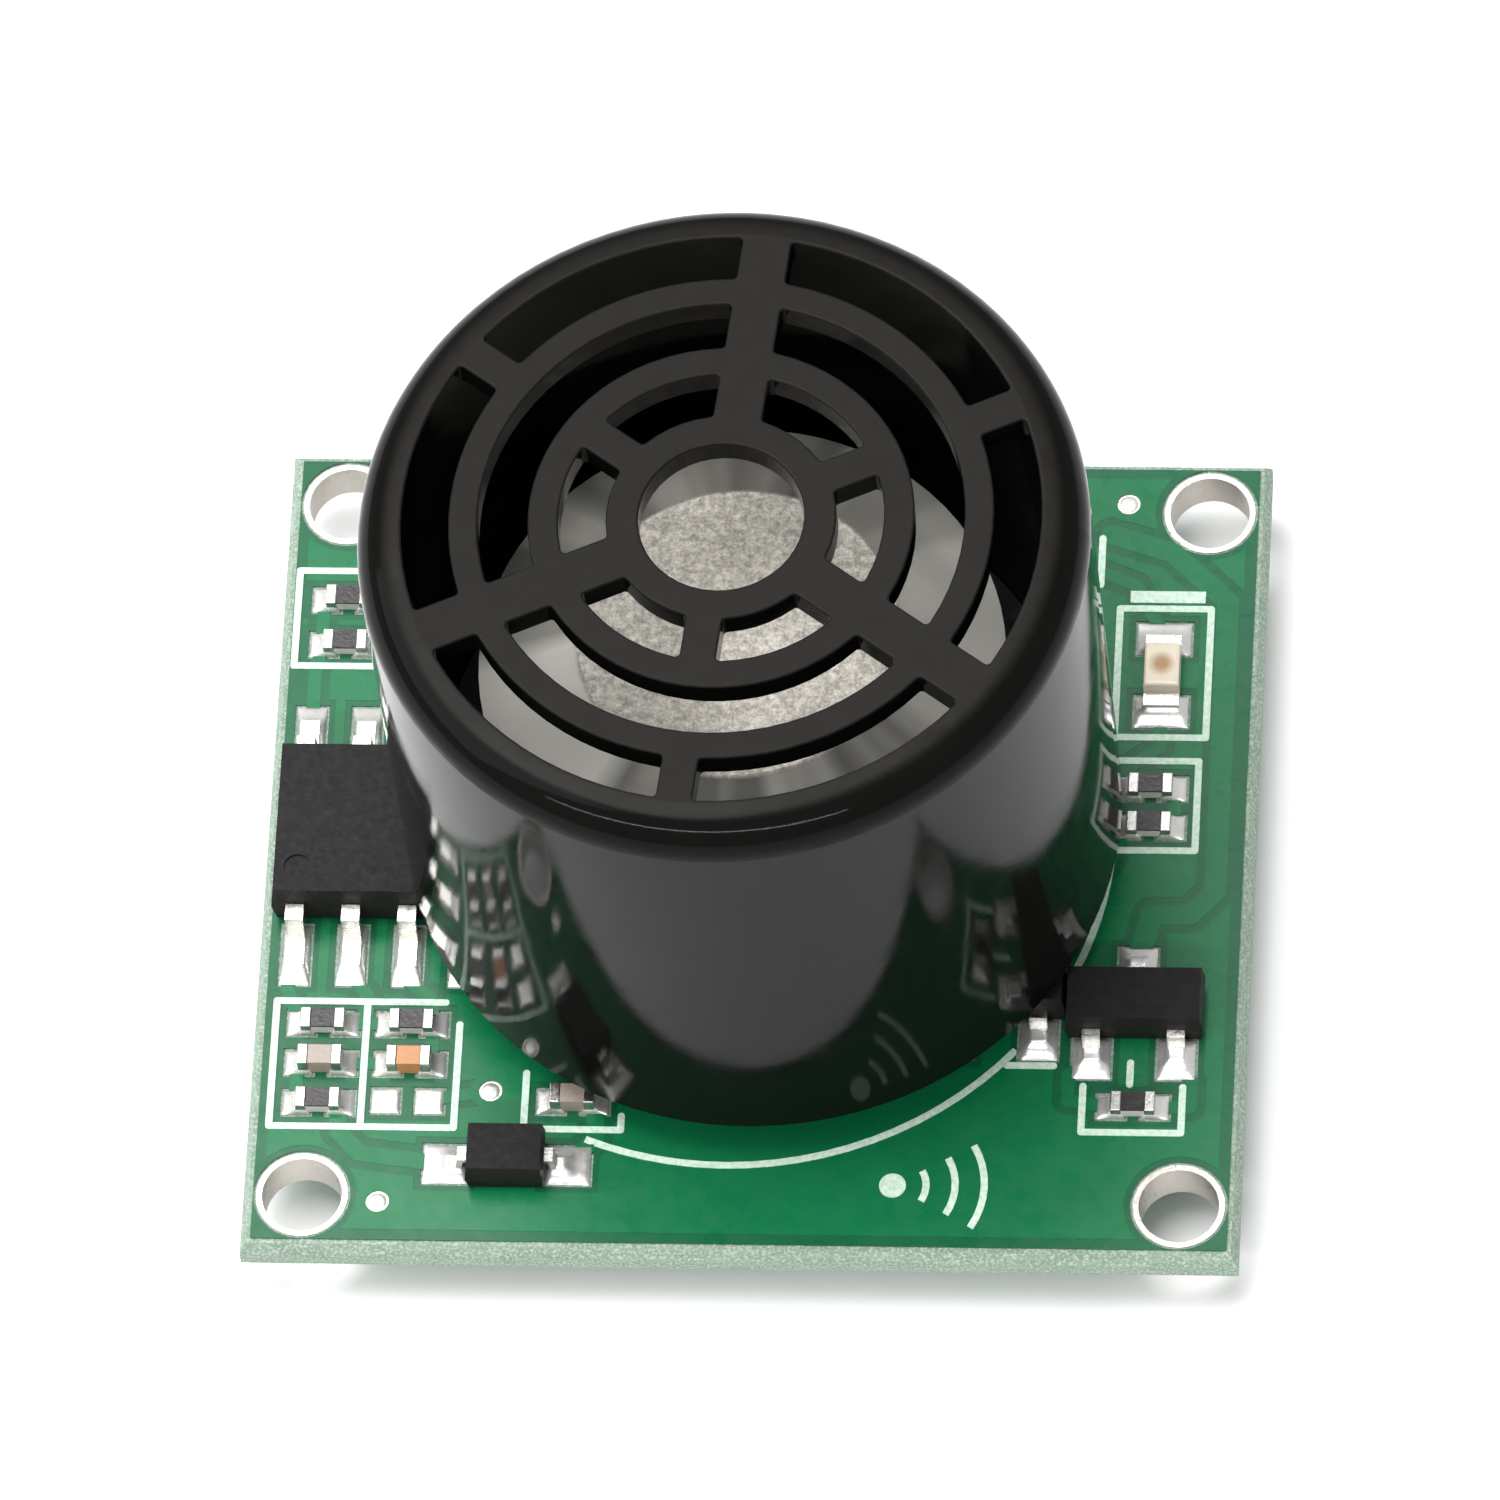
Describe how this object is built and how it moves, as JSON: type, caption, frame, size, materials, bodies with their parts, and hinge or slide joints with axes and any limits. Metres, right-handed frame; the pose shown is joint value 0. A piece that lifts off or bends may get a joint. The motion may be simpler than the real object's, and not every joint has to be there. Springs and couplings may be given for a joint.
{
  "type": "ultrasonic distance sensor",
  "caption": "Small green circuit board with corner holes, carrying a round glossy black ultrasonic transducer with a slotted grille and a metal resonator cone inside.",
  "frame": {"origin": "centre of the four corner holes, on the board's underside", "axes": "+Z out of the board's top face, along the transducer's axis; +X along the board's long side; +Y towards the edge with the row of five header holes"},
  "size_m": [0.0222, 0.0204, 0.0171],
  "materials": {
    "laminate": "rough cut glass-fibre laminate",
    "mask": "green solder mask, satin gloss",
    "copper": "copper under the mask",
    "print": "white printed ink",
    "solder": "tinned, bright",
    "plating": "tinned plating",
    "gloss_case": "glossy black moulding",
    "base": "matte black moulding",
    "cone": "grained aluminium",
    "plate": "plain brass",
    "piezo": "fired ceramic",
    "silicone": "soft silicone",
    "pin": "tinned pin",
    "wire": "tinned wire",
    "mould": "matte black epoxy moulding",
    "lead": "tinned leads",
    "led_base": "white laminate",
    "led_lens": "cream resin",
    "chip_end": "tinned ends",
    "ferrite": "dark ferrite",
    "resistor": "dark coat on ceramic",
    "capacitor_grey": "grey-brown ceramic",
    "capacitor_tan": "tan ceramic"
  },
  "bodies": {
    "root": {"amplifier_body": "mould", "amplifier_leads": "lead", "board_core": "laminate", "capacitor_1_body": "capacitor_grey", "capacitor_1_ends": "chip_end", "capacitor_2_body": "capacitor_tan", "capacitor_2_ends": "chip_end", "capacitor_3_body": "capacitor_grey", "capacitor_3_ends": "chip_end", "coil_bodies": "ferrite", "coil_ends": "chip_end", "controller_body": "mould", "controller_leads": "lead", "copper_bottom": "copper", "copper_top": "copper", "corner_hole_plating": "plating", "coupling_post": "plate", "diaphragm_plate": "plate", "diode_body": "mould", "diode_leads": "lead", "header_hole_plating": "plating", "lead_wires": "wire", "led_base": "led_base", "led_lens": "led_lens", "led_terminals": "chip_end", "pads_bottom": "solder", "pads_top": "solder", "piezo_disc": "piezo", "pin_hole_plating": "plating", "pin_solder": "solder", "resistor_1_body": "resistor", "resistor_1_ends": "chip_end", "resistor_2_body": "resistor", "resistor_2_ends": "chip_end", "resistor_3_body": "resistor", "resistor_3_ends": "chip_end", "resistor_4_body": "resistor", "resistor_4_ends": "chip_end", "resistor_5_body": "resistor", "resistor_5_ends": "chip_end", "resistor_6_body": "resistor", "resistor_6_ends": "chip_end", "resistor_7_body": "resistor", "resistor_7_ends": "chip_end", "resistor_8_body": "resistor", "resistor_8_ends": "chip_end", "resonator_cone": "cone", "silkscreen_top": "print", "solder_mask_bottom": "mask", "solder_mask_top": "mask", "support_ring": "silicone", "terminal_pins": "pin", "transducer_base": "base", "transducer_case": "gloss_case", "transistor_1_body": "mould", "transistor_1_leads": "lead", "transistor_2_body": "mould", "transistor_2_leads": "lead", "via_plating": "plating"}
  },
  "joints": []
}
